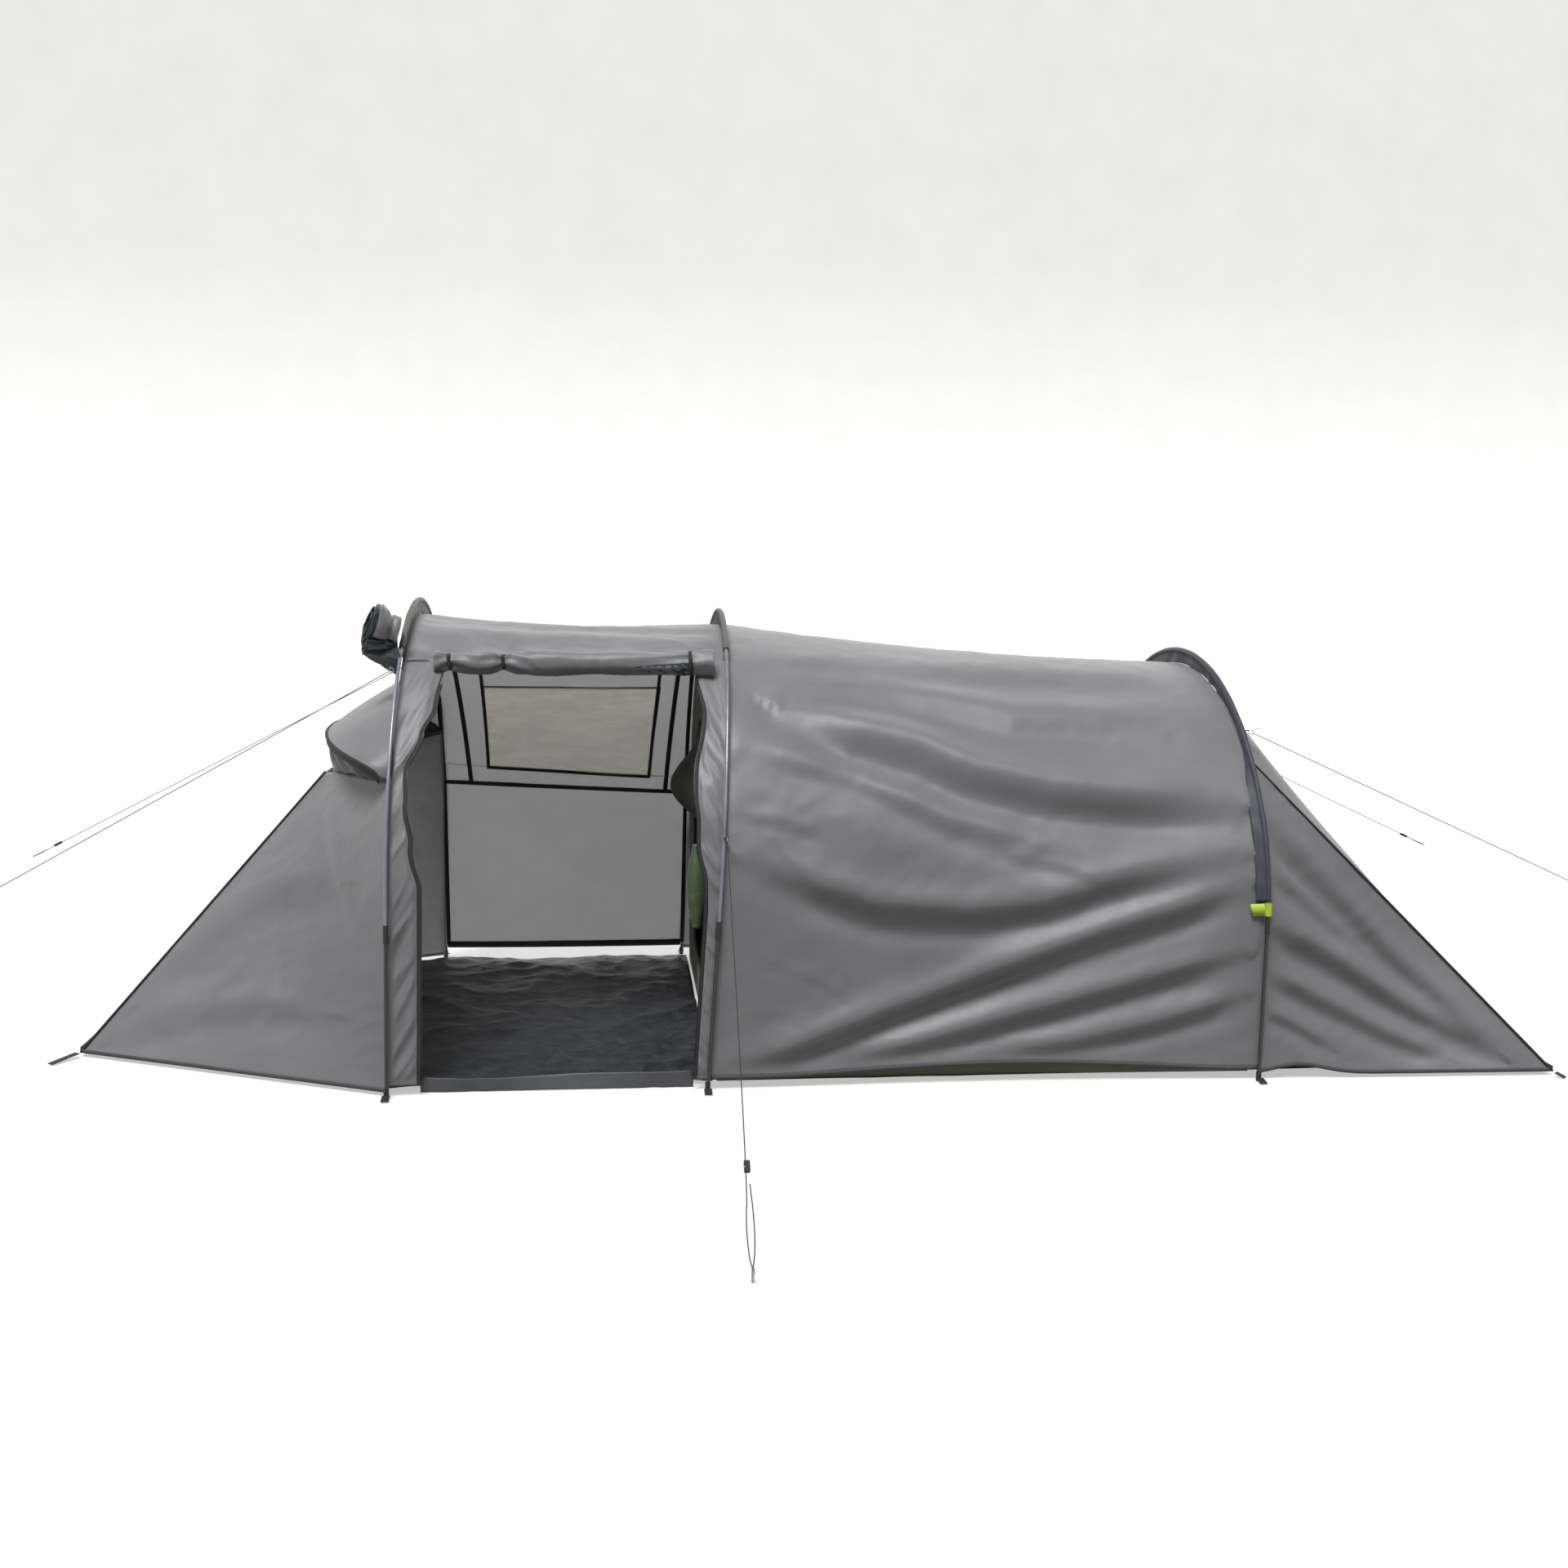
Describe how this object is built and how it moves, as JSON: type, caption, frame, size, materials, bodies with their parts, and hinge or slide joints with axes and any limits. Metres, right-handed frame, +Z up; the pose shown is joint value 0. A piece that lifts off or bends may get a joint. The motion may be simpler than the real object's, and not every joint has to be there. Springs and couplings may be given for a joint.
{
  "type": "tunnel tent",
  "caption": "Tunnel tent on bent pole hoops with a roomy side porch, rolled door, window, sleeping cabin and guylines.",
  "frame": {"origin": "on the ground under the middle of the tent, guylines left out", "axes": "+X along the tent towards its tail, +Z up, -Y towards the open side door"},
  "size_m": [6.1748, 3.418, 1.566],
  "materials": {
    "fly_fabric": "matte",
    "dark_fabric": "matte",
    "olive_fabric": "matte",
    "navy_fabric": "matte",
    "lime_webbing": "matte",
    "inner_fabric": "matte",
    "mesh": "matte",
    "green_fabric": "matte",
    "webbing": "matte",
    "pole": "satin",
    "black_pole": "satin",
    "black_plastic": "matte",
    "steel": "satin",
    "window_film": "gloss",
    "groundsheet": "gloss",
    "threshold": "matte",
    "zip_tape": "matte",
    "cord": "matte",
    "dark_cord": "matte",
    "blue_tag": "matte"
  },
  "bodies": {
    "tent": {"centre_peg_head": "steel", "corner_peg_straps": "webbing", "door_roll_ties": "webbing", "door_roll_toggles": "black_plastic", "door_threshold": "threshold", "door_zip_front": "zip_tape", "door_zip_rear": "zip_tape", "fly_front_end": "fly_fabric", "fly_front_side_far": "fly_fabric", "fly_front_side_near": "fly_fabric", "fly_jamb_front_near": "fly_fabric", "fly_jamb_rear_near": "fly_fabric", "fly_porch_roof": "fly_fabric", "fly_porch_wall_far": "fly_fabric", "fly_sleeping": "fly_fabric", "fly_tail_end": "fly_fabric", "fly_tail_side_far": "fly_fabric", "fly_tail_side_near": "fly_fabric", "foot_webbing_straps": "webbing", "guy_ring_webbing": "webbing", "guy_rings": "steel", "guyline_centre": "dark_cord", "guyline_left_far": "cord", "guyline_left_near": "cord", "guyline_right_far": "cord", "guyline_right_near": "cord", "hoop1_crown_sleeve": "olive_fabric", "hoop1_legs": "black_pole", "hoop1_upper_pole": "pole", "hoop2_crown_sleeve": "olive_fabric", "hoop2_legs": "black_pole", "hoop2_upper_pole": "pole", "hoop3_legs": "black_pole", "hoop3_sleeve": "navy_fabric", "hoop3_sleeve_end_bands": "lime_webbing", "hoop3_upper_pole": "pole", "inner_door_roll": "green_fabric", "inner_foot_end": "inner_fabric", "inner_front_wall": "inner_fabric", "inner_mesh_vent": "mesh", "inner_tub_floor": "groundsheet", "inner_tunnel_wall": "inner_fabric", "pole_ferrules": "black_pole", "pole_foot_cups": "black_plastic", "porch_groundsheet": "groundsheet", "porch_window_film": "window_film", "rear_hoop_tags": "blue_tag", "rolled_front_flap": "dark_fabric", "rolled_side_door": "fly_fabric", "vent_hood": "fly_fabric", "vent_mesh": "mesh"},
    "guy_runner_centre_body": {"guy_runner_centre": "black_plastic"},
    "guy_runner_left_far_body": {"guy_runner_left_far": "black_plastic"},
    "guy_runner_left_near_body": {"guy_runner_left_near": "black_plastic"},
    "guy_runner_right_far_body": {"guy_runner_right_far": "black_plastic"},
    "guy_runner_right_near_body": {"guy_runner_right_near": "black_plastic"},
    "slider_front": {"door_slider_front": "black_plastic"},
    "pull_front": {"door_pull_front": "black_plastic"},
    "slider_rear": {"door_slider_rear": "black_plastic"},
    "pull_rear": {"door_pull_rear": "black_plastic"}
  },
  "joints": [
    {"name": "guy_runner_centre_slide", "type": "slide", "parent": "tent", "child": "guy_runner_centre_body", "axis": [-0.0217, -0.8683, -0.4955], "range_m": [-0.7, 0]},
    {"name": "guy_runner_left_far_slide", "type": "slide", "parent": "tent", "child": "guy_runner_left_far_body", "axis": [-0.8692, 0.1941, -0.4548], "range_m": [-0.9, 0]},
    {"name": "guy_runner_left_near_slide", "type": "slide", "parent": "tent", "child": "guy_runner_left_near_body", "axis": [-0.8479, -0.2184, -0.483], "range_m": [-0.9, 0]},
    {"name": "guy_runner_right_far_slide", "type": "slide", "parent": "tent", "child": "guy_runner_right_far_body", "axis": [0.899, 0.1881, -0.3956], "range_m": [-0.9, 0]},
    {"name": "guy_runner_right_near_slide", "type": "slide", "parent": "tent", "child": "guy_runner_right_near_body", "axis": [0.8903, -0.2027, -0.4077], "range_m": [-0.9, 0]},
    {"name": "zip_slider_front", "type": "slide", "parent": "tent", "child": "slider_front", "axis": [0.0176, 0, 0.9998], "range_m": [0, 0.5]},
    {"name": "zip_pull_front", "type": "hinge", "parent": "slider_front", "child": "pull_front", "pos_m": [-1.28356, -0.93999, 0.0745], "axis": [-1, 0, 0], "range_deg": [0, 150]},
    {"name": "zip_slider_rear", "type": "slide", "parent": "tent", "child": "slider_rear", "axis": [0.0592, 0, 0.9982], "range_m": [0, 0.5]},
    {"name": "zip_pull_rear", "type": "hinge", "parent": "slider_rear", "child": "pull_rear", "pos_m": [-0.40505, -0.94248, 0.0745], "axis": [-1, 0, 0], "range_deg": [0, 150]}
  ]
}
